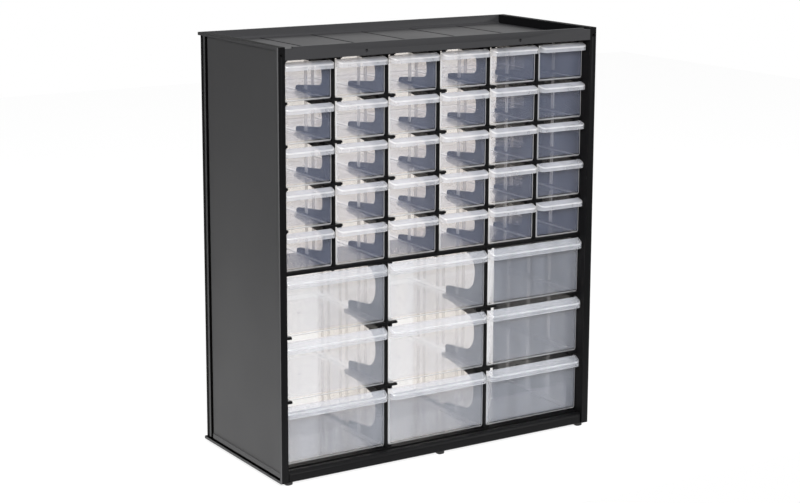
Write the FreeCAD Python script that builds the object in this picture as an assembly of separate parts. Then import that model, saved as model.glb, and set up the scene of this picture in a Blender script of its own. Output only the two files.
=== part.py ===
"""Parts bin cabinet: a moulded case with thirty small and nine large clear drawers.

Millimetres. +Z is up and the drawers open towards -Y. The origin lies on the ground under the middle
of the case. Rows are counted from the top and columns from the left, as seen from the front.
"""
import FreeCAD, Part
import math
import os

from FreeCAD import Vector

# Grid of the drawers
small_columns = 6
small_rows = 5
large_columns = 3
large_rows = 3
small_cell_width = 55.6
small_row_pitch = 40.0
large_row_pitch = 62.8
divider_thickness = 3.0

# Case walls
case_depth = 162.0
side_thickness = 8.2
lattice_setback = 11.0
foot_height = 3.0
floor_height = 10.8
floor_thickness = 3.0
shelf_thickness = 4.0
top_height = 12.4
tray_floor_thickness = 3.4
tray_rim_thickness = 2.5
skirt_thickness = 2.5
shelf_edge_bevel = 1.0

# Tongues of the tray, shelf and floor in the side panels
tongue_length = 3.0
tongue_setback = 4.0
tongue_clearance = 0.15

# Outer face of a side panel
stile_radius = 1.0
front_rim = 2.0
top_rim = 3.0
field_depth = 0.8
rear_step_width = 11.6
rear_step_depth = 3.0
rear_rib_width = 3.5
side_groove_width = 4.2
side_groove_depth = 2.3
foot_lip_height = 2.8
foot_groove_height = 2.8
field_bottom_height = 10.4

# Peg sockets in the front band and the stile tops
socket_diameter = 3.0
socket_depth = 2.0
socket_drop = 8.0

# Grooves and corner notches of the tray
tray_groove_width = 2.4
tray_groove_depth = 1.2
tray_groove_end_gap = 3.0
tray_cove = 2.0
tray_notch_width = 8.0
tray_notch_depth = 1.5

# Nose along the front of the floor
nose_height = 10.4
nose_radius = 5.0
nose_back_bevel = 2.0
nose_edge_radius = 1.2
nose_end_radius = 4.0
nose_end_gap = 0.3
nose_wall = 2.5
trough_width = 1.5
trough_depth = 4.4

# Low runners on the floor
floor_runner_width = 6.0
floor_runner_height = 2.2
floor_runner_setback = 3.0

# Feet
foot_width = 8.0
foot_corner_radius = 3.0
foot_side_inset = 10.0
foot_front_inset = 4.5
foot_boss_wall = 2.0
foot_corner_flat_count = 2

# Arms of the divider lattice
arm_reach = 71.0
small_post_depth = 20.0
small_arm_end_radius = 3.5
small_arm_rise_front = 10.4
small_arm_rise_back = 5.2
small_arm_drop_front = 12.4
small_arm_drop_back = 6.0
small_window_low_radius = 6.0
small_window_high_radius = 8.0
large_post_depth = 19.0
large_arm_end_radius = 2.4
large_arm_rise_front = 12.3
large_arm_rise_back = 7.2
large_arm_drop_front = 16.1
large_arm_drop_back = 6.6
large_window_low_radius = 18.0
large_window_high_radius = 16.0
small_divider_corner_flat_count = 3
large_divider_corner_flat_count = 5

# Runner ledges and their stop lugs
ledge_thickness = 2.4
ledge_end_setback = 4.0
ledge_end_taper = 7.0
small_ledge_width = 8.0
small_lug_start = 4.5
small_lug_reach = 4.4
large_ledge_width = 10.8
large_lug_start = 2.7
large_lug_reach = 5.8
lug_width = 3.5
lug_length = 3.0
tenon_clearance = 0.1
tenon_proud = 1.2

# Drawers
drawer_depth = 140.0
drawer_wall = 1.3
drawer_front_thickness = 1.5
drawer_floor_thickness = 1.4
drawer_edge_radius = 3.0
drawer_corner_flat_count = 2
drawer_inner_bevel = 1.2
drawer_side_gap = 0.4
drawer_floor_gap = 0.3
drawer_top_gap = 0.6
drawer_front_setback = 0.5
drawer_stop_gap = 0.3
small_front_step = 1.3
large_front_step = 0.5
front_step_run = 6.0

# Lip handle along the top of each drawer's front
lip_reach = 9.0
lip_wall = 1.5
lip_corner_radius = 5.5
small_lip_drop = 2.8
small_lip_face = 4.3
large_lip_drop = 4.8
large_lip_face = 4.7

# Slots for partitions, each between two ribs on both side walls
slot_width = 2.0
slot_rib_width = 1.0
slot_rib_height = 1.2
first_slot_depth = 46.0
last_slot_margin = 21.0
small_slots = 1
large_slots = 3

# How far each cut runs past what it cuts
overrun = 2.0

# Widths worked out from the grid
column_pitch = small_cell_width + divider_thickness
columns_per_large = small_columns // large_columns
large_column_pitch = columns_per_large * column_pitch
large_cell_width = large_column_pitch - divider_thickness
inner_width = small_columns * column_pitch - divider_thickness
case_width = inner_width + 2 * side_thickness
inner_left = -inner_width / 2
outer_left = -case_width / 2

# Depths: front of the case, front of the lattice and back of the case
case_front = -case_depth / 2
case_back = case_depth / 2
lattice_front = case_front + lattice_setback
arm_end = lattice_front + arm_reach
lug_front = lattice_front + drawer_front_setback + drawer_front_thickness + drawer_stop_gap
lug_back = lug_front + lug_length
slot_pitch = (drawer_depth - first_slot_depth - last_slot_margin) / (large_slots - 1)

# Levels, from the ground up
case_bottom = foot_height
floor_top = case_bottom + floor_height
large_base = floor_top + floor_runner_height
shelf_top = large_base + large_rows * large_row_pitch
shelf_under = shelf_top - shelf_thickness
small_base = shelf_top
tray_under = shelf_top + small_rows * small_row_pitch
tray_floor_top = tray_under + tray_floor_thickness
case_top = tray_under + top_height

# Heights inside a row, measured from the row's floor
small_lug_under = small_row_pitch - small_lug_reach
large_lug_under = large_row_pitch - large_lug_reach
small_wall_top = small_row_pitch - ledge_thickness - drawer_top_gap
large_wall_top = large_row_pitch - shelf_thickness - drawer_top_gap


def rounded_face(corners, flats):
    """Flat face through corners, each a point with the radius of the arc that rounds it.

    On the pieces that repeat most, that many flats, each a chord of the arc, take the arc's place.
    """
    stops = []
    count = len(corners)
    for index, (corner, radius) in enumerate(corners):
        if not radius:
            stops.append([corner])
            continue
        to_before = (corners[index - 1][0] - corner).normalize()
        to_after = (corners[(index + 1) % count][0] - corner).normalize()
        half_angle = to_before.getAngle(to_after) / 2
        setback = radius / math.tan(half_angle)
        centre = corner + (to_before + to_after).normalize() * (radius / math.sin(half_angle))
        first_spoke = corner + to_before * setback - centre
        last_spoke = corner + to_after * setback - centre
        turn = first_spoke.getAngle(last_spoke)
        steps = flats or 2
        stops.append([
            centre + (first_spoke * math.sin(turn * (steps - step) / steps)
                      + last_spoke * math.sin(turn * step / steps)) / math.sin(turn)
            for step in range(steps + 1)])
    edges = []
    for index, stop in enumerate(stops):
        if len(stop) > 1 and not flats:
            edges.append(Part.Arc(*stop).toShape())
            stop = stop[-1:]
        points = stop + stops[(index + 1) % count][:1]
        edges += [Part.makeLine(first, last) for first, last in zip(points, points[1:])]
    return Part.Face(Part.Wire(edges))


def side_prism(outline, left, right, flats=0):
    """Solid with a side outline of (y, z, radius), running along X from left to right."""
    face = rounded_face([(Vector(left, y, z), radius) for y, z, radius in outline], flats)
    return face.extrude(Vector(right - left, 0, 0))


def plan_prism(outline, bottom, top, flats=0):
    """Solid with a plan outline of (x, y, radius), standing from bottom to top."""
    face = rounded_face([(Vector(x, y, bottom), radius) for x, y, radius in outline], flats)
    return face.extrude(Vector(0, 0, top - bottom))


def front_prism(outline, front, back, flats=0):
    """Solid with a front outline of (x, z, radius), running along Y from front to back."""
    face = rounded_face([(Vector(x, front, z), radius) for x, z, radius in outline], flats)
    return face.extrude(Vector(0, back - front, 0))


def block(left, right, front, back, bottom, top):
    """Square-edged solid between two positions on each axis."""
    return Part.makeBox(right - left, back - front, top - bottom, Vector(left, front, bottom))


def joined(first, others):
    """One clean solid from a piece and what is moulded onto it."""
    return first.fuse(others).removeSplitter() if others else first


def divider_left(number):
    """Left face of a divider, counted in small columns from the left side panel."""
    return inner_left + number * column_pitch - divider_thickness


def row_base(base, pitch, rows, row):
    """Floor level of a row, rows being counted from the top."""
    return base + (rows - row) * pitch


def ledge(face, direction, top, width, lug_start, lug_reach):
    """Runner ledge that stands out from a face, with a stop lug under its front end."""
    def across(distance):
        return face + direction * distance

    ledge_end = arm_end - ledge_end_setback
    strip = plan_prism([
        (across(0), lattice_front, 0),
        (across(width), lattice_front, 0),
        (across(width), ledge_end - ledge_end_taper, 0),
        (across(width - lug_width), ledge_end, 0),
        (across(0), ledge_end, 0),
    ], top - ledge_thickness, top)
    lug_sides = sorted((across(lug_start), across(lug_start + lug_width)))
    lug = block(lug_sides[0], lug_sides[1], lug_front, lug_back, top - lug_reach, top - ledge_thickness)
    return strip.fuse(lug)


def small_ledges(face, direction):
    """Ledges of the small rows on one face, the highest of them under the tray."""
    tops = [small_base + row * small_row_pitch for row in range(1, small_rows + 1)]
    return [ledge(face, direction, top, small_ledge_width, small_lug_start, small_lug_reach) for top in tops]


def large_ledges(face, direction):
    """Ledges between the large rows on one face."""
    tops = [large_base + row * large_row_pitch for row in range(1, large_rows)]
    return [ledge(face, direction, top, large_ledge_width, large_lug_start, large_lug_reach) for top in tops]


def comb_outline(bottom, top, base, pitch, rows, post_depth, rises, drops, radii):
    """Side outline of a divider: a front post and, at each row, an arm that tapers to a rounded end.

    rises and drops are how far an arm reaches above and below its row's floor, at the post and at the
    arm's end. radii round the window's low and high front corners and the arms' ends.
    """
    post_back = lattice_front + post_depth
    outline = [(lattice_front, bottom, 0), (arm_end, bottom, 0)]
    for row in range(rows):
        floor = base + row * pitch
        ceiling = floor + pitch
        outline += [
            (arm_end, floor + rises[1], radii[2]),
            (post_back, floor + rises[0], radii[0]),
            (post_back, ceiling - drops[0], radii[1]),
            (arm_end, ceiling - drops[1], radii[2]),
        ]
    return outline + [(arm_end, top, 0), (lattice_front, top, 0)]


def small_divider(number):
    """Divider between two small columns, with a tenon through the shelf."""
    left = divider_left(number)
    right = left + divider_thickness
    outline = comb_outline(
        small_base, tray_under, small_base, small_row_pitch, small_rows, small_post_depth,
        (small_arm_rise_front, small_arm_rise_back), (small_arm_drop_front, small_arm_drop_back),
        (small_window_low_radius, small_window_high_radius, small_arm_end_radius))
    plate = side_prism(outline, left, right, small_divider_corner_flat_count)
    over_large_divider = number % columns_per_large == 0
    tenon_end = shelf_under + tenon_clearance if over_large_divider else shelf_under - tenon_proud
    tenon = block(left, right, lug_front, lug_back, tenon_end, shelf_top)
    return joined(plate, small_ledges(left, -1) + small_ledges(right, 1) + [tenon])


def large_divider(number):
    """Divider between two large columns, standing on the floor under the shelf."""
    left = divider_left(number * columns_per_large)
    right = left + divider_thickness
    outline = comb_outline(
        floor_top, shelf_under, large_base, large_row_pitch, large_rows, large_post_depth,
        (large_arm_rise_front, large_arm_rise_back), (large_arm_drop_front, large_arm_drop_back),
        (large_window_low_radius, large_window_high_radius, large_arm_end_radius))
    plate = side_prism(outline, left, right, large_divider_corner_flat_count)
    return joined(plate, large_ledges(left, -1) + large_ledges(right, 1))


def tongue_slot(front, back, bottom, top):
    """Slot in the left side panel for a tongue between these limits, which rests on its lower face."""
    return block(
        inner_left - tongue_length - tongue_clearance, inner_left + overrun,
        front - tongue_clearance, back + tongue_clearance, bottom, top + tongue_clearance)


def side_recesses():
    """Cuts in the outer face of the left side panel: field, grooves and rear step."""
    outside = outer_left - overrun
    high = case_top - top_rim
    step_front = case_back - rear_step_width
    rib_front = step_front - rear_rib_width
    groove_front = rib_front - side_groove_width
    groove_bottom = case_bottom + foot_lip_height
    groove_top = groove_bottom + foot_groove_height
    field_bottom = case_bottom + field_bottom_height
    rim_back = case_front + front_rim
    field = block(
        outside, outer_left + field_depth, rim_back, groove_front + side_groove_width / 2, field_bottom, high)
    upright_groove = block(
        outside, outer_left + side_groove_depth, groove_front, rib_front, groove_bottom, high)
    foot_groove = block(
        outside, outer_left + side_groove_depth, rim_back, step_front, groove_bottom, groove_top)
    rear_step = block(
        outside, outer_left + rear_step_depth, step_front, case_back + overrun, groove_bottom, high)
    return [field, upright_groove, foot_groove, rear_step]


def left_side_panel():
    """Left wall: stile, outer recesses, slots for the tongues and the ledges of the outer columns."""
    wall = plan_prism([
        (outer_left, case_front, stile_radius),
        (inner_left, case_front, 0),
        (inner_left, case_back, 0),
        (outer_left, case_back, 0),
    ], case_bottom, case_top)
    slots = [
        tongue_slot(case_front + tongue_setback, case_back - tongue_setback, tray_under, tray_floor_top),
        tongue_slot(lattice_front + tongue_setback, arm_end - tongue_setback, shelf_under, shelf_top),
        tongue_slot(lattice_front + tongue_setback, case_back - tongue_setback,
                    floor_top - floor_thickness, floor_top),
    ]
    socket = Part.makeCylinder(
        socket_diameter / 2, socket_depth + overrun,
        Vector((outer_left + inner_left) / 2, case_front - overrun, case_top - socket_drop), Vector(0, 1, 0))
    wall = wall.cut(side_recesses() + slots + [socket])
    return joined(wall, small_ledges(inner_left, 1) + large_ledges(inner_left, 1))


def top_tray():
    """Lid of the case: a sunk floor with grooves over the dividers between a front and a back rim."""
    front_inside = case_front + tray_rim_thickness
    back_inside = case_back - tray_rim_thickness
    tray = side_prism([
        (case_front, tray_under, 0),
        (case_back, tray_under, 0),
        (case_back, case_top, 0),
        (back_inside, case_top, 0),
        (back_inside, tray_floor_top + tray_cove, 0),
        (back_inside - tray_cove, tray_floor_top, 0),
        (front_inside + tray_cove, tray_floor_top, 0),
        (front_inside, tray_floor_top + tray_cove, 0),
        (front_inside, case_top, 0),
        (case_front, case_top, 0),
    ], inner_left, -inner_left)
    tongues = block(
        inner_left - tongue_length, tongue_length - inner_left,
        case_front + tongue_setback, case_back - tongue_setback, tray_under, tray_floor_top)
    cuts = []
    for number in range(1, small_columns):
        middle = divider_left(number) + divider_thickness / 2
        cuts.append(block(
            middle - tray_groove_width / 2, middle + tray_groove_width / 2,
            front_inside + tray_groove_end_gap, back_inside - tray_groove_end_gap,
            tray_floor_top - tray_groove_depth, tray_floor_top + overrun))
    for side in (-1, 1):
        near_end = side * inner_width / 2
        notch_sides = sorted((near_end + side * overrun, near_end - side * tray_notch_width))
        cuts.append(block(
            notch_sides[0], notch_sides[1], case_front - overrun, front_inside + overrun,
            case_top - tray_notch_depth, case_top + overrun))
        socket_x = side * (small_columns / 2 - columns_per_large + 1 / 2) * column_pitch
        cuts.append(Part.makeCylinder(
            socket_diameter / 2, socket_depth + overrun,
            Vector(socket_x, case_front - overrun, case_top - socket_drop), Vector(0, 1, 0)))
    return joined(tray, [tongues]).cut(cuts)


def middle_shelf():
    """Shelf between the small and the large rows, with stop lugs for the top large row under it."""
    shelf = side_prism([
        (lattice_front + shelf_edge_bevel, shelf_under, 0),
        (arm_end, shelf_under, 0),
        (arm_end, shelf_top, 0),
        (lattice_front + shelf_edge_bevel, shelf_top, 0),
        (lattice_front, shelf_top - shelf_edge_bevel, 0),
        (lattice_front, shelf_under + shelf_edge_bevel, 0),
    ], inner_left, -inner_left)
    additions = [block(
        inner_left - tongue_length, tongue_length - inner_left,
        lattice_front + tongue_setback, arm_end - tongue_setback, shelf_under, shelf_top)]
    lug_bottom = large_base + (large_rows - 1) * large_row_pitch + large_lug_under
    for column in range(large_columns):
        cell_left = inner_left + column * large_column_pitch
        cell_right = cell_left + large_cell_width
        for lug_left in (cell_left + large_lug_start, cell_right - large_lug_start - lug_width):
            additions.append(block(
                lug_left, lug_left + lug_width, lug_front, lug_back, lug_bottom, shelf_under))
    mortises = []
    for number in range(1, small_columns):
        left = divider_left(number)
        mortises.append(block(
            left - tenon_clearance, left + divider_thickness + tenon_clearance,
            lug_front - tenon_clearance, lug_back + tenon_clearance,
            shelf_under - overrun, shelf_top + overrun))
    return joined(shelf, additions).cut(mortises)


def foot_places():
    """Centres of the feet: three along the front and three along the back."""
    outer = case_width / 2 - foot_side_inset
    depth = case_depth / 2 - foot_front_inset
    return [(x, y) for y in (-depth, depth) for x in (-outer, 0, outer)]


def nose():
    """Rounded nose between the stiles, with pockets from below between the bosses of the front feet."""
    trough_front = lattice_front - trough_width
    end = inner_left + nose_end_gap
    bar = side_prism([
        (case_front, case_bottom, nose_edge_radius),
        (case_front, case_bottom + nose_height, nose_radius),
        (trough_front - nose_back_bevel, case_bottom + nose_height, 0),
        (trough_front, case_bottom + nose_height - nose_back_bevel, 0),
        (trough_front, floor_top - trough_depth, 0),
        (lattice_front, floor_top - trough_depth, 0),
        (lattice_front, case_bottom, 0),
    ], end, -end)
    rounded_ends = plan_prism([
        (end, case_front, nose_end_radius),
        (-end, case_front, nose_end_radius),
        (-end, lattice_front, 0),
        (end, lattice_front, 0),
    ], case_bottom, case_bottom + nose_height)
    boss_reach = foot_width / 2 + foot_boss_wall
    feet_x = sorted({x for x, y in foot_places()})
    pockets = [block(
        left + boss_reach, right - boss_reach, case_front + nose_wall, lattice_front,
        case_bottom - overrun, floor_top - trough_depth - nose_wall)
        for left, right in zip(feet_x, feet_x[1:])]
    return bar.common(rounded_ends).cut(pockets)


def bottom_panel():
    """Floor of the case with its skirts, its nose, the bosses of the back feet and low runners."""
    floor_under = floor_top - floor_thickness
    shell = side_prism([
        (lattice_front, case_bottom, 0),
        (lattice_front + skirt_thickness, case_bottom, 0),
        (lattice_front + skirt_thickness, floor_under, 0),
        (case_back - skirt_thickness, floor_under, 0),
        (case_back - skirt_thickness, case_bottom, 0),
        (case_back, case_bottom, 0),
        (case_back, floor_top, 0),
        (lattice_front, floor_top, 0),
    ], inner_left, -inner_left)
    additions = [nose(), block(
        inner_left - tongue_length, tongue_length - inner_left,
        lattice_front + tongue_setback, case_back - tongue_setback, floor_under, floor_top)]
    boss_reach = foot_width / 2 + foot_boss_wall
    for x, y in foot_places():
        if y > 0:
            additions.append(block(
                max(x - boss_reach, inner_left), min(x + boss_reach, -inner_left),
                y - boss_reach, case_back, case_bottom, floor_under))
    for column in range(large_columns):
        cell_left = inner_left + column * large_column_pitch
        cell_right = cell_left + large_cell_width
        for left in (cell_left, cell_right - floor_runner_width):
            additions.append(block(
                left, left + floor_runner_width, lattice_front + floor_runner_setback, arm_end,
                floor_top, large_base))
    return joined(shell, additions)


def feet():
    """Studs that the case stands on, each a separate solid."""
    half = foot_width / 2
    return Part.makeCompound([
        plan_prism([
            (x - half, y - half, foot_corner_radius),
            (x + half, y - half, foot_corner_radius),
            (x + half, y + half, foot_corner_radius),
            (x - half, y + half, foot_corner_radius),
        ], 0, foot_height, foot_corner_flat_count)
        for x, y in foot_places()])


def drawer_lip(half_width, front, front_top, lip_drop, lip_face):
    """Hood-shaped lip handle: a sloping top, a front flange and rounded ends, open below."""
    plate_back = front + drawer_front_thickness
    lip_front = front - lip_reach
    lip_bottom = front_top - lip_drop - lip_face
    outside = side_prism([
        (plate_back, front_top, 0),
        (front, front_top, 0),
        (lip_front, front_top - lip_drop, 0),
        (lip_front, lip_bottom, 0),
        (plate_back, lip_bottom, 0),
    ], -half_width, half_width)
    plan = plan_prism([
        (-half_width, lip_front, lip_corner_radius),
        (half_width, lip_front, lip_corner_radius),
        (half_width, plate_back, 0),
        (-half_width, plate_back, 0),
    ], lip_bottom, front_top, drawer_corner_flat_count)
    inside = side_prism([
        (front, front_top - lip_wall, 0),
        (lip_front + lip_wall, front_top - lip_drop - lip_wall, 0),
        (lip_front + lip_wall, lip_bottom - overrun, 0),
        (front, lip_bottom - overrun, 0),
    ], -half_width, half_width)
    inner_half = half_width - lip_wall
    inner_radius = lip_corner_radius - lip_wall
    inner_plan = plan_prism([
        (-inner_half, lip_front + lip_wall, inner_radius),
        (inner_half, lip_front + lip_wall, inner_radius),
        (inner_half, front, 0),
        (-inner_half, front, 0),
    ], lip_bottom - overrun, front_top, drawer_corner_flat_count)
    return outside.common(plan).cut(inside.common(inner_plan))


def slot_ribs(half_width, front, bottom, top, slots):
    """Pairs of upright ribs on both side walls that hold a loose partition between them."""
    ribs = []
    inside = half_width - drawer_wall
    for slot in range(slots):
        middle = front + first_slot_depth + slot * slot_pitch
        for rib_front in (middle - slot_width / 2 - slot_rib_width, middle + slot_width / 2):
            for side in (-1, 1):
                rib_sides = sorted((side * inside, side * (inside - slot_rib_height)))
                ribs.append(block(
                    rib_sides[0], rib_sides[1], rib_front, rib_front + slot_rib_width, bottom, top))
    return ribs


def drawer(cell_width, wall_top, front_step, lug_under, lip_drop, lip_face, slots):
    """Clear drawer at x = 0 with its row's floor at z = 0: an open tub with a lip handle in front."""
    half = cell_width / 2 - drawer_side_gap
    front = lattice_front + drawer_front_setback
    back = front + drawer_depth
    bottom = drawer_floor_gap
    floor = bottom + drawer_floor_thickness
    front_top = wall_top - front_step
    inner_half = half - drawer_wall
    tub = front_prism([
        (-half, bottom, drawer_edge_radius),
        (half, bottom, drawer_edge_radius),
        (half, wall_top, 0),
        (-half, wall_top, 0),
    ], front, back, drawer_corner_flat_count)
    hollow = front_prism([
        (-inner_half, floor + drawer_inner_bevel, 0),
        (drawer_inner_bevel - inner_half, floor, 0),
        (inner_half - drawer_inner_bevel, floor, 0),
        (inner_half, floor + drawer_inner_bevel, 0),
        (inner_half, wall_top + overrun, 0),
        (-inner_half, wall_top + overrun, 0),
    ], front + drawer_front_thickness, back - drawer_wall)
    step = side_prism([
        (front - overrun, front_top, 0),
        (front + drawer_front_thickness, front_top, 0),
        (front + drawer_front_thickness + front_step_run, wall_top, 0),
        (front + drawer_front_thickness + front_step_run, wall_top + overrun, 0),
        (front - overrun, wall_top + overrun, 0),
    ], -half - overrun, half + overrun)
    ribs = slot_ribs(half, front, floor + drawer_inner_bevel, lug_under - drawer_top_gap, slots)
    lip = drawer_lip(half, front, front_top, lip_drop, lip_face)
    return joined(tub.cut([hollow, step]), [lip] + ribs)


def all_drawers():
    """Name and shape of every drawer, closed in its place."""
    small = drawer(small_cell_width, small_wall_top, small_front_step, small_lug_under,
                   small_lip_drop, small_lip_face, small_slots)
    large = drawer(large_cell_width, large_wall_top, large_front_step, large_lug_under,
                   large_lip_drop, large_lip_face, large_slots)
    drawers = {}
    for row in range(1, small_rows + 1):
        floor = row_base(small_base, small_row_pitch, small_rows, row)
        for column in range(small_columns):
            middle = inner_left + column * column_pitch + small_cell_width / 2
            drawers[f"small_drawer_r{row}_c{column + 1}"] = small.translated(Vector(middle, 0, floor))
    for row in range(1, large_rows + 1):
        floor = row_base(large_base, large_row_pitch, large_rows, row)
        for column in range(large_columns):
            middle = inner_left + column * large_column_pitch + large_cell_width / 2
            drawers[f"large_drawer_r{row}_c{column + 1}"] = large.translated(Vector(middle, 0, floor))
    return drawers


def all_pieces():
    """Every named piece of the cabinet."""
    left_panel = left_side_panel()
    pieces = {
        "left_side_panel": left_panel,
        "right_side_panel": left_panel.mirror(Vector(0, 0, 0), Vector(1, 0, 0)),
        "top_tray": top_tray(),
        "middle_shelf": middle_shelf(),
        "bottom_panel": bottom_panel(),
        "feet": feet(),
    }
    for number in range(1, small_columns):
        pieces[f"small_divider_{number}"] = small_divider(number)
    for number in range(1, large_columns):
        pieces[f"large_divider_{number}"] = large_divider(number)
    pieces.update(all_drawers())
    return pieces


os.makedirs("parts", exist_ok=True)
for name, shape in all_pieces().items():
    shape.exportStep(f"parts/{name}.step")
    print(name, "solids", len(shape.Solids), "valid", shape.isValid(), "volume", round(shape.Volume))
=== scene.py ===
"""Looks of the parts bin cabinet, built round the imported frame.

Sizes are in millimetres in the frame's axes and turn to metres where a mesh is made. +Z is up, the
drawers open towards -Y, and the origin lies on the ground under the middle of the case.
"""

import logging
import math
from dataclasses import dataclass, field
from enum import Enum
from typing import Any, Mapping, Sequence

import bmesh
import bpy
import numpy as np
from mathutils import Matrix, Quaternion, Vector


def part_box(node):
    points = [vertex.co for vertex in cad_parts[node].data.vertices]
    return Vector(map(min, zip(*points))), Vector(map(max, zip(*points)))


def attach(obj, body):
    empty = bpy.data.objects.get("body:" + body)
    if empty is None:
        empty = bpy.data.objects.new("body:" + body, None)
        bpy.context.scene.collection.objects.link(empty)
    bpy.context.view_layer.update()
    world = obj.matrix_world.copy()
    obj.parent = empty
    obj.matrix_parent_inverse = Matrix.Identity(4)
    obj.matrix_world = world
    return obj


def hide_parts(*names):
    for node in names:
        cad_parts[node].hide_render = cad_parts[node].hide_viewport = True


MM = 0.001
MERGE_DISTANCE = 0.002

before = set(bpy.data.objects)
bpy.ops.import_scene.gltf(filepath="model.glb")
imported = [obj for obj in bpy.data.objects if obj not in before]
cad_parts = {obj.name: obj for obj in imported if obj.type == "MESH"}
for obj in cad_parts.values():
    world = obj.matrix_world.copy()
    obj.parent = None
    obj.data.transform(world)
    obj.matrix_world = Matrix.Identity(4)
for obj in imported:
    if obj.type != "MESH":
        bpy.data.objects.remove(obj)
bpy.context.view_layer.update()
log = logging.getLogger("cabinet")


def linear(code: str) -> tuple[float, float, float, float]:
    """Turns an sRGB hex colour into linear light.

    Args:
        code: Six hex digits, as in "c8ccd0".

    Returns:
        Red, green, blue and a full alpha.
    """
    srgb = np.array([int(code[start:start + 2], 16) for start in (0, 2, 4)]) / 255
    light = np.where(srgb <= 0.04045, srgb / 12.92, ((srgb + 0.055) / 1.055) ** 2.4)
    return (*light.tolist(), 1.0)


def add_node(tree: bpy.types.NodeTree, kind: str, settings: Mapping[str, Any] | None = None,
             links: Mapping[str | int, Any] | None = None) -> bpy.types.Node:
    """Adds a node with its settings and its inputs.

    Args:
        tree: The node tree that gets the node.
        kind: Blender's name for the node's type.
        settings: Values of the node's own properties.
        links: For each input, by name or number, a constant or the socket that feeds it.

    Returns:
        The new node.
    """
    node = tree.nodes.new(kind)
    for name, value in (settings or {}).items():
        setattr(node, name, value)
    for name, value in (links or {}).items():
        if isinstance(value, bpy.types.NodeSocket):
            tree.links.new(value, node.inputs[name])
        else:
            node.inputs[name].default_value = value
    return node


def new_material(name: str) -> bpy.types.Material:
    """Makes an empty node material.

    Args:
        name: What the real material is called.

    Returns:
        The material, with no node in it.
    """
    material = bpy.data.materials.new(name)
    material.use_nodes = True
    material.node_tree.nodes.clear()
    return material


class CaseGrain(Enum):
    """How the black mouldings' surfaces were finished in the mould, each with its roughness."""

    SATIN = 0.40
    ERODED = 0.55


@dataclass(frozen=True)
class BlackPolypropylene:
    """Black polypropylene, injection moulded in a satin or spark-eroded mould.

    The eye gets a near black with a soft grey sheen: the carbon black takes nearly all the light, and
    the fine grain spreads what the skin reflects. The lighter bases given to eroded faces are painted
    sheen, and the near-black base given to recesses is painted shade.
    """

    name: str
    grain: CaseGrain
    base: str = "161617"
    gloss: float = 0.4
    grain_size: float = 1.1
    grain_depth: float = 0.012
    flow_size: float = 90.0
    gloss_swing: float = 0.03

    def make(self) -> bpy.types.Material:
        """Builds the material: one plastic skin with grain and slow changes of gloss.

        Returns:
            The material.
        """
        material = new_material(self.name)
        tree = material.node_tree
        place = add_node(tree, "ShaderNodeTexCoord").outputs["Object"]
        # Real grain is about 0.1 mm; it is drawn about ten times as coarse, to show at this distance.
        grain = add_node(tree, "ShaderNodeTexNoise", links={
            "Vector": place, "Scale": 1 / (self.grain_size * MM), "Detail": 3.0, "Roughness": 0.6})
        flow = add_node(tree, "ShaderNodeTexNoise", links={
            "Vector": place, "Scale": 1 / (self.flow_size * MM), "Detail": 2.0})
        gloss = add_node(tree, "ShaderNodeMapRange", links={
            "Value": flow.outputs["Fac"], "From Min": 0.3, "From Max": 0.7,
            "To Min": self.grain.value - self.gloss_swing, "To Max": self.grain.value + self.gloss_swing})
        bump = add_node(tree, "ShaderNodeBump", links={
            "Height": grain.outputs["Fac"], "Distance": self.grain_depth * MM, "Strength": 0.5})
        skin = add_node(tree, "ShaderNodeBsdfPrincipled", links={
            "Base Color": linear(self.base), "Roughness": gloss.outputs["Result"], "IOR": 1.49,
            "Specular IOR Level": self.gloss, "Normal": bump.outputs["Normal"]})
        add_node(tree, "ShaderNodeOutputMaterial", links={"Surface": skin.outputs["BSDF"]})
        return material


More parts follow.
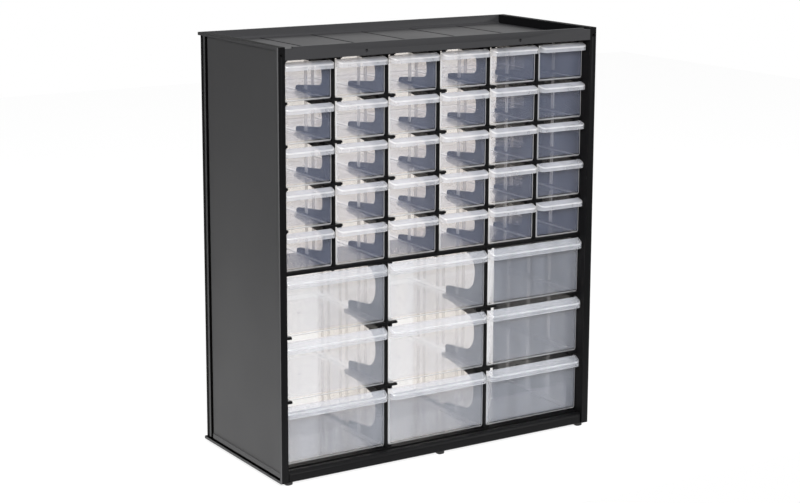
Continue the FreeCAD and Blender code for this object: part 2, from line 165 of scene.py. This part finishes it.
@dataclass(frozen=True)
class ClearPolypropylene:
    """Clarified polypropylene, injection moulded with a polished outside.

    The eye sees through it, with a cool milky haze over dark things, a brighter haze where a wall is
    seen edge on, and soft window-like reflections on the skin.

    haze is the share of light that one surface stops when it is faced, and edge_haze the same when it
    is seen at a grazing angle. glow_share is the share of the haze that sends light on, and tint what one
    surface leaves of the light that passes straight.
    """

    name: str
    haze: float
    edge_haze: float
    base: str = "d1daed"
    through: str = "fbf7f0"
    tint: str = "fffefd"
    roughness: float = 0.3
    gloss_roughness: float = 0.12
    straight_gloss: float = 0.035
    glow_share: float = 0.4
    streak_width: float = 14.0
    streak_swing: float = 0.15
    haze_start: float = 0.45

    def make(self) -> bpy.types.Material:
        """Builds the material: haze over a see-through share, and a polished skin over both.

        The haze sends cool light back and warm light on, as fine particles in a clear body do. The
        skin's share is Schlick's: the straight share, plus the rest times the fifth power of one
        minus the cosine.

        Returns:
            The material.
        """
        material = new_material(self.name)
        tree = material.node_tree
        place = add_node(tree, "ShaderNodeTexCoord").outputs["Object"]
        # Melt flow leaves faint upright streaks of haze.
        stretched = add_node(tree, "ShaderNodeMapping", links={
            "Vector": place, "Scale": (1.0, 1.0, 0.12)})
        streaks = add_node(tree, "ShaderNodeTexNoise", links={
            "Vector": stretched.outputs["Vector"], "Scale": 1 / (self.streak_width * MM), "Detail": 2.0})
        facing = add_node(tree, "ShaderNodeLayerWeight", links={"Blend": 0.5})
        angle = add_node(tree, "ShaderNodeMapRange", links={
            "Value": facing.outputs["Facing"], "From Min": self.haze_start, "From Max": 1.0,
            "To Min": self.haze, "To Max": self.edge_haze})
        uneven = add_node(tree, "ShaderNodeMapRange", links={
            "Value": streaks.outputs["Fac"], "From Min": 0.3, "From Max": 0.7,
            "To Min": 1 - self.streak_swing, "To Max": 1 + self.streak_swing})
        opacity = add_node(tree, "ShaderNodeMath", {"operation": "MULTIPLY", "use_clamp": True}, {
            0: angle.outputs["Result"], 1: uneven.outputs["Result"]})
        skin = add_node(tree, "ShaderNodeBsdfPrincipled", links={
            "Base Color": linear(self.base), "Roughness": self.roughness, "IOR": 1.49})
        glow = add_node(tree, "ShaderNodeBsdfTranslucent", links={"Color": linear(self.through)})
        haze = add_node(tree, "ShaderNodeMixShader", links={
            0: self.glow_share, 1: skin.outputs["BSDF"], 2: glow.outputs["BSDF"]})
        clear = add_node(tree, "ShaderNodeBsdfTransparent", links={"Color": linear(self.tint)})
        body = add_node(tree, "ShaderNodeMixShader", links={
            0: opacity.outputs["Value"], 1: clear.outputs["BSDF"], 2: haze.outputs["Shader"]})
        steep = add_node(tree, "ShaderNodeMath", {"operation": "POWER"}, {
            0: facing.outputs["Facing"], 1: 5.0})
        share = add_node(tree, "ShaderNodeMapRange", links={
            "Value": steep.outputs["Value"], "To Min": self.straight_gloss, "To Max": 1.0})
        polish = add_node(tree, "ShaderNodeBsdfGlossy", links={
            "Color": linear("ffffff"), "Roughness": self.gloss_roughness})
        mixed = add_node(tree, "ShaderNodeMixShader", links={
            0: share.outputs["Result"], 1: body.outputs["Shader"], 2: polish.outputs["BSDF"]})
        add_node(tree, "ShaderNodeOutputMaterial", links={"Surface": mixed.outputs["Shader"]})
        return material


class Moulding:
    """Mesh put together from grids of points, each with the number of the material it shows."""

    def __init__(self) -> None:
        """Starts with no points."""
        self.points: list[np.ndarray] = []
        self.faces: list[list[int]] = []
        self.slots: list[int] = []
        self.count = 0

    def add_grid(self, grid: np.ndarray, slots: int | np.ndarray = 0, closed: bool = False) -> np.ndarray:
        """Adds a surface given as rows of points.

        Args:
            grid: Points, as (rows, columns, 3).
            slots: Material number, for all the quads or as (rows - 1, columns of quads).
            closed: Whether the last column joins the first.

        Returns:
            The points' numbers, as (rows, columns).
        """
        rows, columns = grid.shape[:2]
        number = np.arange(rows * columns).reshape(rows, columns) + self.count
        right = np.roll(number, -1, axis=1)
        quads = np.stack([number[:-1], right[:-1], right[1:], number[1:]], axis=-1)
        if not closed:
            quads = quads[:, :-1]
        self.points.append(grid.reshape(-1, 3))
        self.faces += quads.reshape(-1, 4).tolist()
        self.slots += np.broadcast_to(slots, quads.shape[:2]).ravel().tolist()
        self.count += rows * columns
        return number

    def add_face(self, loop: np.ndarray, slot: int = 0) -> None:
        """Closes a flat loop of points that are already there."""
        self.faces.append(loop.tolist())
        self.slots.append(slot)

    def add_block(self, low: Sequence[float], high: Sequence[float], slot: int = 0) -> None:
        """Adds a square-edged bar between two corners, as a ring carried from low to high in z.

        Args:
            low: The bar's lowest corner on all three axes.
            high: Its highest corner.
            slot: Material number of its faces.
        """
        x = np.array([low[0], high[0], high[0], low[0]])
        y = np.array([low[1], low[1], high[1], high[1]])
        ring = np.stack([x, y], axis=-1)
        grid = np.stack([np.column_stack([ring, np.full(4, z)]) for z in (low[2], high[2])])
        number = self.add_grid(grid, slot, closed=True)
        self.add_face(number[0], slot)
        self.add_face(number[1], slot)

    def make(self, name: str, offset: Sequence[float], materials: Sequence[bpy.types.Material],
             smooth_angle: float = 35.0) -> bpy.types.Object:
        """Turns the points and faces into an object at the origin.

        Args:
            name: The object's name.
            offset: How far every point moves, in millimetres.
            materials: What the material numbers stand for.
            smooth_angle: Edges that turn by more than this many degrees stay sharp.

        Returns:
            The object, with its place in its mesh.
        """
        mesh = bpy.data.meshes.new(name)
        points = (np.concatenate(self.points) + np.array(offset)) * MM
        mesh.from_pydata(points.tolist(), [], self.faces)
        for material in materials:
            mesh.materials.append(material)
        mesh.polygons.foreach_set("material_index", np.array(self.slots, np.int32))
        tidy_mesh(mesh, smooth_angle)
        made = bpy.data.objects.new(name, mesh)
        bpy.context.scene.collection.objects.link(made)
        return made


def tidy_mesh(mesh: bpy.types.Mesh, smooth_angle: float, flat_angle: float = 0.0) -> None:
    """Merges doubles, turns faces outwards and shades small turns smooth.

    Args:
        mesh: The mesh to tidy.
        smooth_angle: Edges that turn by more than this many degrees stay sharp.
        flat_angle: Faces that turn by less than this many degrees become one; none at zero.
    """
    work = bmesh.new()
    work.from_mesh(mesh)
    bmesh.ops.remove_doubles(work, verts=work.verts, dist=MERGE_DISTANCE * MM)
    if flat_angle:
        bmesh.ops.dissolve_limit(
            work, angle_limit=math.radians(flat_angle), verts=work.verts, edges=work.edges)
    bmesh.ops.recalc_face_normals(work, faces=work.faces)
    work.to_mesh(mesh)
    work.free()
    mesh.polygons.foreach_set("use_smooth", np.ones(len(mesh.polygons), bool))
    mesh.set_sharp_from_angle(angle=math.radians(smooth_angle))


def seat(piece: bpy.types.Object, body: str, slot: str, *nodes: str) -> None:
    """Parents a piece to its body, hides the solids that it replaces, and reports it.

    Args:
        piece: The finished piece.
        body: The body that it rides on.
        slot: Not used.
        nodes: The solids that it replaces.
    """
    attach(piece, body)
    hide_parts(*nodes)
    log.info("%s rides on %s: %d faces", piece.name, body, len(piece.data.polygons))


@dataclass
class Case:
    """Black case: side panels, tray, shelf, floor and the dividers between the columns.

    The panels are copies of the frame's own solids, with every edge broken as a mould leaves it. The tray
    and the outsides of the side panels are spark-eroded, the outsides with a lighter base that is painted
    sheen; their recesses and the tray's grooves are painted near black as shade, and the rest is satin.

    A face's middle tells its finish by its depth under a side panel's outermost plane, where outside_limit
    and recess_limit end the outside and the recesses, or under the tray's floor, where the grooves lie
    between the groove_limits.
    """

    edge_radius: float = 0.35
    edge_angle: float = 38.0
    outside_limit: float = 0.96
    recess_limit: float = 3.3
    tray_sink: float = 9.0
    groove_limits: tuple[float, float] = (0.15, 1.35)
    plain: tuple[str, ...] = ("middle_shelf", "bottom_panel")
    sides: tuple[str, ...] = ("left_side_panel", "right_side_panel")
    tray: str = "top_tray"

    def marked(self, node: str, middles: np.ndarray) -> np.ndarray:
        """Numbers the finish of each face: a side panel's outside and recesses, or the tray's grooves.

        Args:
            node: The solid's name.
            middles: Middles of its faces in millimetres, as (count, 3).

        Returns:
            Zero for the first finish, one for the second and two for the third, for each face.
        """
        low, high = (np.array(corner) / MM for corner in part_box(node))
        if node in self.sides:
            depth = max(-low[0], high[0]) - np.abs(middles[:, 0])
            outside = depth < self.outside_limit
            # Outside faces take the lighter painted sheen; the recesses take the near-black painted shade.
            return outside + 2 * (~outside & (depth < self.recess_limit))
        depth = high[2] - middles[:, 2] - self.tray_sink
        # The tray's grooves take the near-black painted shade.
        return (depth > self.groove_limits[0]) & (depth < self.groove_limits[1])

    def dress(self, node: str, *materials: bpy.types.Material) -> None:
        """Builds one panel from its solid, with rounded edges.

        Args:
            node: The solid's name.
            materials: What the panel is made of, and its other finishes, if it has any.
        """
        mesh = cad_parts[node].data.copy()
        mesh.materials.clear()
        for material in materials:
            mesh.materials.append(material)
        tidy_mesh(mesh, self.edge_angle, flat_angle=1.0)
        if len(materials) > 1:
            middles = np.zeros(len(mesh.polygons) * 3)
            mesh.polygons.foreach_get("center", middles)
            marked = self.marked(node, middles.reshape(-1, 3) / MM)
            mesh.polygons.foreach_set("material_index", marked.astype(np.int32))
        piece = bpy.data.objects.new(f"moulded_{node}", mesh)
        bpy.context.scene.collection.objects.link(piece)
        edges = piece.modifiers.new("broken_edges", "BEVEL")
        edges.width = self.edge_radius * MM
        edges.segments = 2
        edges.limit_method = "ANGLE"
        edges.angle_limit = math.radians(self.edge_angle)
        edges.harden_normals = True
        seat(piece, "case", "case_plastic", node)

    def build(self) -> None:
        """Builds all the panels and dividers."""
        satin = BlackPolypropylene("black_polypropylene_satin", CaseGrain.SATIN, "0f0f10", 0.1).make()
        # The outsides' base 474748 is far lighter than the black plastic: painted sheen.
        outer = BlackPolypropylene("black_polypropylene_field_painted_sheen", CaseGrain.ERODED, "474748", 0.4).make()
        tray = BlackPolypropylene("black_polypropylene_tray", CaseGrain.ERODED, "2a2a2c", 0.5).make()
        # The recesses and grooves get a near-black base: painted shade where the real ones fall into shadow.
        painted_shade_finish = BlackPolypropylene("black_polypropylene_painted_shade", CaseGrain.ERODED, "060606", 0.03).make()
        dividers = sorted(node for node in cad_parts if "divider" in node)
        for node in (*self.plain, *dividers):
            self.dress(node, satin)
        for node in self.sides:
            self.dress(node, satin, outer, painted_shade_finish)
        self.dress(self.tray, tray, painted_shade_finish)


@dataclass
class Feet:
    """Black studs under the case, each a rounded square with a domed underside."""

    width: float = 8.0
    corner_radius: float = 3.0
    height: float = 3.0
    dome: float = 1.0
    steps: int = 5

    def stud(self, middle: Sequence[float], shape: Moulding) -> None:
        """Adds one stud: rounded squares stacked upwards, the lower ones drawn in by a quarter circle.

        Args:
            middle: Centre of the stud in plan.
            shape: The mesh that gets it.
        """
        turn = np.linspace(0, np.pi / 2, self.steps)
        inset = np.append(self.dome * (1 - np.sin(turn)), 0)
        level = np.append(self.dome * (1 - np.cos(turn)), self.height)
        around = np.linspace(0, 2 * np.pi, 4 * (self.steps + 1), endpoint=False)
        unit = np.stack([np.cos(around), np.sin(around)], axis=-1)
        straight = self.width / 2 - self.corner_radius
        rings = (np.sign(unit) * straight + unit * (self.corner_radius - inset[:, None, None]))
        grid = np.concatenate([rings, np.broadcast_to(level[:, None, None], (*rings.shape[:2], 1))], axis=-1)
        number = shape.add_grid(grid + np.array([*middle, 0]), closed=True)
        shape.add_face(number[0])
        shape.add_face(number[-1])

    def build(self) -> None:
        """Builds the six studs under the corners and the middle of the case."""
        low, high = (np.array(corner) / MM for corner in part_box("feet"))
        shape = Moulding()
        reach = self.width / 2
        for y in (low[1] + reach, high[1] - reach):
            for x in (low[0] + reach, 0.0, high[0] - reach):
                self.stud((x, y), shape)
        material = BlackPolypropylene("black_polypropylene_studs", CaseGrain.SATIN).make()
        seat(shape.make("studs", (0, 0, 0), [material]), "case", "foot_plastic", "feet")


class Part(Enum):
    """Parts of a drawer by how much haze the eye meets in them, in the order of a kind's finishes."""

    WALL = 0
    EDGE = 1
    LIP = 2
    FLANGE = 3
    LINE = 4
    FRONT = 5


@dataclass
class DrawerKind:
    """One size of clear drawer: an open tub with a hood-shaped lip handle.

    Heights and depths are measured as in the frame, and the box of the drawer's own solid gives the
    overall size. front_step is how far the front plate's top lies under the side walls', lip_drop how far
    the lip slopes down, lip_face the height of its flange, slot_depths how far the partition slots stand
    behind the front, and slot_top_gap how far their ribs end under the rim. overlap is how far the lip
    and the ribs reach into the tub's walls.
    """

    prefix: str
    finishes: tuple[ClearPolypropylene, ...]
    front_step: float
    lip_drop: float
    lip_face: float
    slot_depths: tuple[float, ...]
    slot_top_gap: float
    lip_reach: float = 9.0
    lip_wall: float = 1.5
    lip_corner: float = 5.5
    lip_fillet: float = 1.0
    fillet_steps: int = 4
    wall: float = 1.3
    front_thickness: float = 1.5
    floor: float = 1.4
    edge_radius: float = 3.0
    end_radius: float = 1.2
    inner_radius: float = 2.0
    corner_radius: float = 1.6
    rim: float = 0.35
    floor_inset: float = 2.0
    step_start: float = 0.5
    overlap: float = 0.05
    step_run: float = 6.0
    rib_width: float = 1.0
    rib_height: float = 1.2
    slot_width: float = 2.0
    gate_radius: float = 1.5
    gate_height: float = 0.3
    gate_sides: int = 12
    steps: int = 5
    box: tuple[np.ndarray, np.ndarray] = field(default_factory=lambda: (np.zeros(3), np.zeros(3)))

    def names(self) -> list[str]:
        """Names of the drawers of this kind."""
        return sorted(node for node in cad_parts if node.startswith(self.prefix))

    def measure(self) -> None:
        """Takes the drawer's outside size from the first solid of its kind, centred on x = 0."""
        low, high = (np.array(corner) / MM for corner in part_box(self.names()[0]))
        middle = (low[0] + high[0]) / 2
        self.box = (low - [middle, 0, 0], high - [middle, 0, 0])

    @property
    def half(self) -> float:
        """Half the drawer's width."""
        return float(self.box[1][0])

    @property
    def front(self) -> float:
        """Front face of the front plate."""
        return float(self.box[0][1]) + self.lip_reach

    @property
    def front_top(self) -> float:
        """Top of the front plate."""
        return float(self.box[1][2]) - self.front_step

    def loop(self, side_inset: float, front_inset: float, back_inset: float) -> np.ndarray:
        """Plan loop of the tub: a rectangle whose corners are quarter ellipses, drawn in on each side.

        Args:
            side_inset: How far the sides are drawn in.
            front_inset: How far the front is drawn in.
            back_inset: How far the back is drawn in.

        Returns:
            Points as (count, 2), from the left front corner round to the right and back.
        """
        half = self.half - side_inset
        front = self.front + front_inset
        back = float(self.box[1][1]) - back_inset
        turn = np.linspace(0, np.pi / 2, self.steps)
        radius_x = max(self.corner_radius - side_inset, self.rim)
        front_y = max(self.corner_radius - front_inset, self.rim)
        back_y = max(self.corner_radius - back_inset, self.rim)
        right_front = np.stack([
            half - radius_x + radius_x * np.sin(turn), front + front_y - front_y * np.cos(turn)], axis=-1)
        right_back = np.stack([
            half - radius_x + radius_x * np.cos(turn), back - back_y + back_y * np.sin(turn)], axis=-1)
        plate_back = self.front + self.front_thickness
        side = np.array([[half, plate_back + self.step_start], [half, plate_back + self.step_run]])
        right = np.concatenate([right_front, side, right_back])
        return np.concatenate([right, right[::-1] * [-1, 1]])

    def tub(self, shape: Moulding) -> None:
        """Adds the tub: plan loops carried up the outside, over the rim and down the inside.

        Args:
            shape: The mesh that gets it.
        """
        low, high = float(self.box[0][2]), float(self.box[1][2])
        turn = np.linspace(0, np.pi / 2, self.steps)
        plate, wall, rim = self.front_thickness, self.wall, self.rim
        # Each row: inset of the sides, front and back, height, and 1 where the height hangs from the rim.
        outside = [(self.edge_radius + self.floor_inset, self.end_radius + self.floor_inset,
                    self.end_radius + self.floor_inset, low, 0)]
        outside += [(self.edge_radius * (1 - np.sin(a)), self.end_radius * (1 - np.sin(a)),
                     self.end_radius * (1 - np.sin(a)), low + self.edge_radius * (1 - np.cos(a)), 0)
                    for a in turn]
        over = [(rim * (1 - np.cos(a)),) * 3 + (rim * (np.sin(a) - 1), 1) for a in turn[::2]]
        under = [(wall - rim * (1 - np.sin(a)), plate - rim * (1 - np.sin(a)), wall - rim * (1 - np.sin(a)),
                  rim * (np.cos(a) - 1), 1) for a in turn[::2]]
        deep = self.inner_radius
        floor_top = low + self.floor
        inside = [(wall + deep * (1 - np.cos(a)), plate + deep * (1 - np.cos(a)) / 2,
                   wall + deep * (1 - np.cos(a)) / 2, floor_top + deep * (1 - np.sin(a)), 0) for a in turn]
        profile = outside + over + under + inside
        loops = np.stack([self.loop(*row[:3]) for row in profile])
        plate_back = self.front + plate
        ramp = np.interp(loops[..., 1], [plate_back, plate_back + self.step_run], [self.front_top, high])
        height = np.array([row[3] for row in profile])[:, None]
        hangs = np.array([row[4] for row in profile])[:, None]
        grid = np.concatenate([loops, (height + hangs * ramp)[..., None]], axis=-1)
        slots = np.full((len(profile) - 1, loops.shape[1]), Part.WALL.value)
        # The last column of quads is the front plate. It has a line all round, as its corners have.
        corner, rise, fall = self.steps - 1, len(outside) - 1, len(outside) + len(over) + len(under) - 1
        slots[1:3] = Part.EDGE.value
        slots[rise + 1:fall] = Part.EDGE.value
        slots[:rise + 1, :corner] = Part.LINE.value
        slots[:rise + 1, -corner - 1:-1] = Part.LINE.value
        slots[2:4, -1] = Part.LINE.value
        slots[[rise, fall], -1] = Part.FRONT.value
        number = shape.add_grid(grid, slots, closed=True)
        shape.add_face(number[0], Part.WALL.value)
        shape.add_face(number[-1], Part.WALL.value)

    def hood_path(self, inset: float, count: int = 7) -> np.ndarray:
        """Plan path of the hood: back edge, quarter circle, front edge, quarter circle, back edge.

        Args:
            inset: How far inside the hood's outline the path runs.
            count: Points on each quarter circle.

        Returns:
            Points as (count, 2), from the left end to the right.
        """
        turn = np.linspace(0, np.pi / 2, count)
        radius = self.lip_corner - inset
        half = self.half - inset
        front = float(self.box[0][1]) + inset
        arc = np.stack([
            half - radius + radius * np.sin(turn), front + radius - radius * np.cos(turn)], axis=-1)
        right = np.concatenate([arc, [[half, self.front]]])
        return np.concatenate([right[::-1] * [-1, 1], right])

    def hood(self, shape: Moulding) -> None:
        """Adds the lip: a sloping top and an upright flange carried along the hood's path.

        The outside rises up the flange, turns over a fillet and runs back on the slope to the plate.
        The inside is the same path one wall further in, and strips close the edges.

        Args:
            shape: The mesh that gets it.
        """
        slope = self.lip_drop / self.lip_reach
        bottom = self.front_top - self.lip_drop - self.lip_face

        def top(y: np.ndarray) -> np.ndarray:
            """Height of the sloping top at a depth."""
            return self.front_top - slope * (self.front - y)

        def ring(path: np.ndarray, height: np.ndarray) -> np.ndarray:
            """Points of a path at heights."""
            return np.column_stack([path, np.broadcast_to(height, len(path))])

        outer, inner = self.hood_path(0.0), self.hood_path(self.lip_wall)
        rings = [ring(outer, np.array(bottom))]
        for turn in np.linspace(0, np.pi / 2, self.fillet_steps):
            path = self.hood_path(self.lip_fillet * (1 - math.cos(turn)))
            rings.append(ring(path, top(path[:, 1]) - self.lip_fillet * (1 - math.sin(turn))))
        share = np.linspace(-1, 1, len(outer))
        plate = np.stack([share * self.half, np.full(len(outer), self.front + self.overlap)], axis=-1)
        inner_plate = np.stack([share * (self.half - self.lip_wall), plate[:, 1]], axis=-1)
        last = rings[-1][:, :2]
        for part in (0.5, 1.0):
            path = last + (plate - last) * part
            rings.append(ring(path, top(path[:, 1])))
        for part in (1.0, 0.5, 0.0):
            path = inner + (inner_plate - inner) * part
            rings.append(ring(path, top(path[:, 1]) - self.lip_wall))
        rings.append(ring(inner, np.array(bottom)))
        rings.append(rings[0])
        slots = np.full((len(rings) - 1, len(outer) - 1), Part.LIP.value)
        slots[0] = slots[-2] = Part.FLANGE.value
        slots[1:self.fillet_steps] = slots[-1] = Part.LINE.value
        shape.add_grid(np.stack(rings), slots)

    def ribs(self, shape: Moulding) -> None:
        """Adds the upright ribs of the partition slots, a pair at each slot on both side walls.

        Args:
            shape: The mesh that gets them.
        """
        low, high = float(self.box[0][2]), float(self.box[1][2])
        face = self.half - self.wall
        for depth in self.slot_depths:
            for near in (depth - self.slot_width / 2 - self.rib_width, depth + self.slot_width / 2):
                front = self.front + near
                for side in (-1, 1):
                    across = sorted((side * (face + self.overlap), side * (face - self.rib_height)))
                    shape.add_block((across[0], front, low + self.floor + self.inner_radius),
                                    (across[1], front + self.rib_width, high - self.slot_top_gap),
                                    Part.EDGE.value)

    def gate(self, shape: Moulding) -> None:
        """Adds the gate mark where the melt came in: a low round nub in the middle of the floor.

        Args:
            shape: The mesh that gets it.
        """
        around = np.linspace(0, 2 * np.pi, self.gate_sides, endpoint=False)
        unit = np.stack([np.cos(around), np.sin(around)], axis=-1)
        middle = np.array([0.0, (self.front + float(self.box[1][1])) / 2])
        top = float(self.box[0][2]) + self.floor
        levels = ((self.gate_radius, top - self.gate_height), (self.gate_radius, top),
                  (self.gate_radius / 2, top + self.gate_height))
        grid = np.stack([np.column_stack([middle + unit * radius, np.full(self.gate_sides, level)])
                         for radius, level in levels])
        number = shape.add_grid(grid, Part.LINE.value, closed=True)
        shape.add_face(number[0], Part.LINE.value)
        shape.add_face(number[-1], Part.LINE.value)

    def build(self) -> None:
        """Builds every drawer of this kind in its place."""
        self.measure()
        shape = Moulding()
        self.tub(shape)
        self.hood(shape)
        self.ribs(shape)
        self.gate(shape)
        materials = [finish.make() for finish in self.finishes]
        for node in self.names():
            low, high = (np.array(corner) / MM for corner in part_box(node))
            offset = ((low[0] + high[0]) / 2, 0.0, low[2] - self.box[0][2])
            piece = shape.make(f"clear_{node}", offset, materials)
            seat(piece, f"{node}_body", "clear_plastic", node)


@dataclass
class Studio:
    """White sweep at the back and right, a dim room elsewhere, a soft key lamp and a weak side lamp.

    The side lamp stands where the drawers' front plates don't mirror it towards the photograph's camera.
    """

    floor_front: float = -260.0
    floor_back: float = 2600.0
    floor_left: float = -480.0
    floor_right: float = 2400.0
    room_level: float = 0.1
    sky_level: float = 0.75
    sweep_level: float = 1.0
    key_power: float = 80.0
    key_place: tuple[float, float, float] = (-1.0, -1.9, 1.4)
    key_size: tuple[float, float] = (1.0, 1.0)
    side_power: float = 6.0
    side_place: tuple[float, float, float] = (1.0, -0.95, 0.8)
    side_size: tuple[float, float] = (0.5, 0.4)
    lamp_target: tuple[float, float, float] = (0.0, 0.0, 0.2)
    shadow_share: float = 0.25
    floor_strength: float = 1.1

    def world(self) -> None:
        """Lights the scene all round: white to the camera, and to all else a bright sweep in a dim room.

        The sweep is a product of two smooth steps, towards +X and towards +Y, and the sky a step upwards.
        """
        world = bpy.data.worlds.new("white_tent")
        bpy.context.scene.world = world
        world.use_nodes = True
        tree = world.node_tree
        tree.nodes.clear()
        path = add_node(tree, "ShaderNodeLightPath")
        direction = add_node(tree, "ShaderNodeTexCoord").outputs["Generated"]
        axes = add_node(tree, "ShaderNodeSeparateXYZ", links={"Vector": direction})
        steps = [
            add_node(tree, "ShaderNodeMapRange", {"interpolation_type": "SMOOTHSTEP"}, {
                "Value": axes.outputs[axis], "From Min": low, "From Max": high, "To Min": 0.0, "To Max": top})
            for axis, low, high, top in (("X", -0.15, 0.4, 1.0), ("Y", -0.4, 0.3, self.sweep_level),
                                         ("Z", 0.25, 0.85, self.sky_level))]
        sweep = add_node(tree, "ShaderNodeMath", {"operation": "MULTIPLY"}, {
            0: steps[0].outputs["Result"], 1: steps[1].outputs["Result"]})
        bright = add_node(tree, "ShaderNodeMath", {"operation": "MAXIMUM"}, {
            0: sweep.outputs["Value"], 1: steps[2].outputs["Result"]})
        level = add_node(tree, "ShaderNodeMath", {"operation": "MAXIMUM"}, {
            0: bright.outputs["Value"], 1: self.room_level})
        seen = add_node(tree, "ShaderNodeMath", {"operation": "MAXIMUM"}, {
            0: path.outputs["Is Camera Ray"], 1: path.outputs["Is Transmission Ray"]})
        strength = add_node(tree, "ShaderNodeMix", links={
            "Factor": seen.outputs["Value"], "A": level.outputs["Value"], "B": 1.0})
        light = add_node(tree, "ShaderNodeBackground", links={
            "Color": linear("ffffff"), "Strength": strength.outputs["Result"]})
        add_node(tree, "ShaderNodeOutputWorld", links={"Surface": light.outputs["Background"]})

    def floor(self) -> None:
        """Lays the pale floor: white to the camera and to reflections, with the object's shadow kept."""
        left, right, front, back = self.floor_left, self.floor_right, self.floor_front, self.floor_back
        points = np.array([[left, front, 0], [right, front, 0], [right, back, 0], [left, back, 0]]) * MM
        mesh = bpy.data.meshes.new("floor")
        mesh.from_pydata(points.tolist(), [], [[0, 1, 2, 3]])
        material = new_material("white_sweep_paper")
        tree = material.node_tree
        path = add_node(tree, "ShaderNodeLightPath")
        seen = add_node(tree, "ShaderNodeMath", {"operation": "MAXIMUM"}, {
            0: path.outputs["Is Camera Ray"], 1: path.outputs["Is Glossy Ray"]})
        through = add_node(tree, "ShaderNodeMath", {"operation": "MAXIMUM"}, {
            0: seen.outputs["Value"], 1: path.outputs["Is Transmission Ray"]})
        share = add_node(tree, "ShaderNodeMath", {"operation": "MULTIPLY"}, {
            0: through.outputs["Value"], 1: 1 - self.shadow_share})
        paper = add_node(tree, "ShaderNodeBsdfDiffuse", links={"Color": linear("f4f4f4")})
        white = add_node(tree, "ShaderNodeEmission", links={
            "Color": linear("ffffff"), "Strength": self.floor_strength})
        both = add_node(tree, "ShaderNodeMixShader", links={
            0: share.outputs["Value"], 1: paper.outputs["BSDF"], 2: white.outputs["Emission"]})
        add_node(tree, "ShaderNodeOutputMaterial", links={"Surface": both.outputs["Shader"]})
        mesh.materials.append(material)
        floor = bpy.data.objects.new("floor", mesh)
        bpy.context.scene.collection.objects.link(floor)

    def lamp(self, name: str, place: Sequence[float], size: Sequence[float], power: float) -> None:
        """Hangs a soft rectangular lamp that faces the middle of the cabinet.

        Args:
            name: The lamp's name.
            place: Where it hangs, in metres.
            size: Its width and height, in metres.
            power: Its power in watts.
        """
        data = bpy.data.lights.new(name, "AREA")
        data.shape = "RECTANGLE"
        data.size, data.size_y = size
        data.energy = power
        lamp = bpy.data.objects.new(name, data)
        lamp.location = place
        aim = Vector(self.lamp_target) - lamp.location
        lamp.rotation_mode = "QUATERNION"
        lamp.rotation_quaternion = aim.to_track_quat("-Z", "Y")
        bpy.context.scene.collection.objects.link(lamp)

    def build(self) -> None:
        """Builds the floor, the world and the lamps."""
        self.world()
        self.floor()
        self.lamp("soft_key", self.key_place, self.key_size, self.key_power)
        self.lamp("soft_side", self.side_place, self.side_size, self.side_power)
        log.info("studio is lit")


@dataclass
class PhotoCamera:
    """Camera at the photograph's place, found by fitting the case's corners."""

    azimuth: float = -32.245
    elevation: float = 10.848
    roll: float = 0.175
    distance: float = 1856.9
    target: tuple[float, float, float] = (0.2, 0.0, 253.4)
    focal_pixels: float = 1844.4
    rise_pixels: float = -60.0
    image_width: float = 800.0
    sensor: float = 36.0

    def build(self) -> None:
        """Places the camera on its line of sight and turns it by the small roll."""
        a, e = math.radians(self.azimuth), math.radians(self.elevation)
        back = Vector((math.sin(a) * math.cos(e), -math.cos(a) * math.cos(e), math.sin(e)))
        data = bpy.data.cameras.new("photo_camera")
        data.sensor_width = self.sensor
        data.lens = self.focal_pixels / self.image_width * self.sensor
        data.shift_y = self.rise_pixels / self.image_width
        data.clip_end = 50.0
        camera = bpy.data.objects.new("photo_camera", data)
        camera.rotation_mode = "QUATERNION"
        camera.location = (Vector(self.target) + back * self.distance) * MM
        roll = Quaternion((0.0, 0.0, 1.0), math.radians(self.roll))
        camera.rotation_quaternion = (-back).to_track_quat("-Z", "Y") @ roll
        bpy.context.scene.collection.objects.link(camera)
        bpy.context.scene.camera = camera
        log.info("camera stands %.0f mm away", self.distance)


def main() -> None:
    """Builds the cabinet's pieces, then the studio and the camera."""
    logging.basicConfig(level=logging.INFO, format="%(name)s: %(message)s")
    scene = bpy.context.scene
    scene.view_settings.view_transform = "Standard"
    # Behind the front plate the eye looks through up to a dozen clear walls.
    scene.cycles.transparent_max_bounces = 40
    Case().build()
    Feet().build()
    # The small front plates stand 0.9 mm higher than the solids', so that the lips come near the tray's band.
    small = DrawerKind(
        "small_drawer",
        (ClearPolypropylene("clear_polypropylene_small", 0.015, 0.04, "b4c4ec"),
         ClearPolypropylene("clear_polypropylene_small_edges", 0.3, 0.7, "e4e8f0"),
         ClearPolypropylene("clear_polypropylene_small_lips", 0.3, 0.5, "e0e5f2"),
         ClearPolypropylene("clear_polypropylene_small_flanges", 0.3, 0.45, "e2e7f1"),
         ClearPolypropylene("clear_polypropylene_small_lines", 0.5, 0.7, "f0f2f7"),
         ClearPolypropylene("clear_polypropylene_small_fronts", 0.11, 0.24, "b8c6ec")),
        front_step=0.4, lip_drop=2.8, lip_face=4.3, slot_depths=(46.0,), slot_top_gap=1.8)
    large = DrawerKind(
        "large_drawer",
        (ClearPolypropylene("clear_polypropylene_large", 0.03, 0.06),
         ClearPolypropylene("clear_polypropylene_large_edges", 0.15, 0.5, "e4e8f0"),
         ClearPolypropylene("clear_polypropylene_large_lips", 0.25, 0.42, "dce3f0"),
         ClearPolypropylene("clear_polypropylene_large_flanges", 0.25, 0.42, "dce3f0"),
         ClearPolypropylene("clear_polypropylene_large_lines", 0.4, 0.65, "e6ebf4"),
         ClearPolypropylene("clear_polypropylene_large_fronts", 0.18, 0.32)),
        front_step=0.5, lip_drop=4.8, lip_face=4.7, slot_depths=(46.0, 82.5, 119.0), slot_top_gap=1.8)
    small.build()
    large.build()
    Studio().build()
    PhotoCamera().build()


if __name__ == "__main__":
    main()
